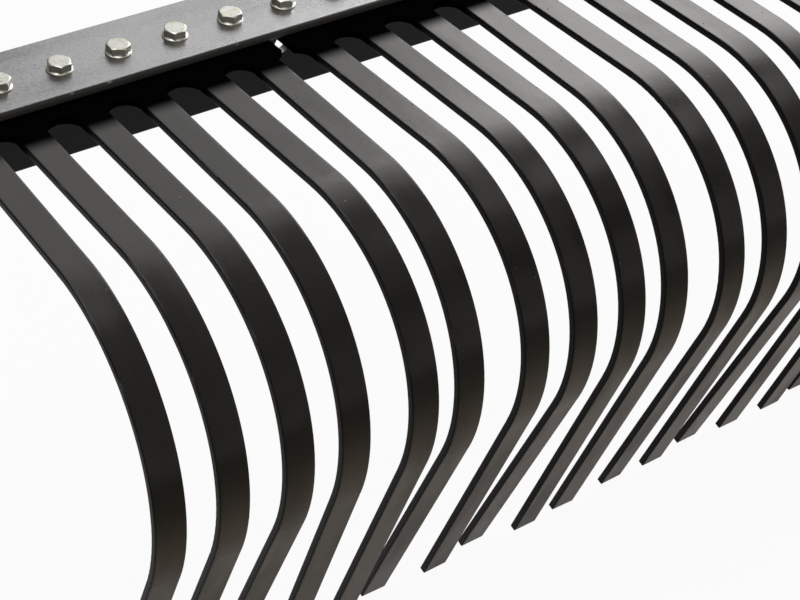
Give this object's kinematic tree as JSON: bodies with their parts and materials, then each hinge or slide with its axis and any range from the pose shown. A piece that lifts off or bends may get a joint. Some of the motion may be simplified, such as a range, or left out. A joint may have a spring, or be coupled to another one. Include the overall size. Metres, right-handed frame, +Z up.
{
  "type": "landscape rake head",
  "caption": "Landscape rake head: an angle-steel beam with a row of curved flat-bar tines bolted under its top leg and hitch holes in its upright leg.",
  "frame": {"origin": "on the front face of the beam's upright leg, at mid-length, level with the hitch holes", "axes": "+X along the beam, +Y forward to the hitch, +Z up"},
  "size_m": [1.219, 0.4119, 0.4502],
  "materials": {
    "beam_paint": "satin black paint",
    "tine_paint": "gloss black paint",
    "zinc": "bright zinc plate"
  },
  "bodies": {
    "root": {"beam": "beam_paint", "bolts": "zinc", "nuts": "zinc", "tine_01": "tine_paint", "tine_02": "tine_paint", "tine_03": "tine_paint", "tine_04": "tine_paint", "tine_05": "tine_paint", "tine_06": "tine_paint", "tine_07": "tine_paint", "tine_08": "tine_paint", "tine_09": "tine_paint", "tine_10": "tine_paint", "tine_11": "tine_paint", "tine_12": "tine_paint", "tine_13": "tine_paint", "tine_14": "tine_paint", "tine_15": "tine_paint", "tine_16": "tine_paint", "tine_17": "tine_paint", "tine_18": "tine_paint", "tine_19": "tine_paint", "tine_20": "tine_paint", "tine_21": "tine_paint", "tine_22": "tine_paint"}
  },
  "joints": []
}
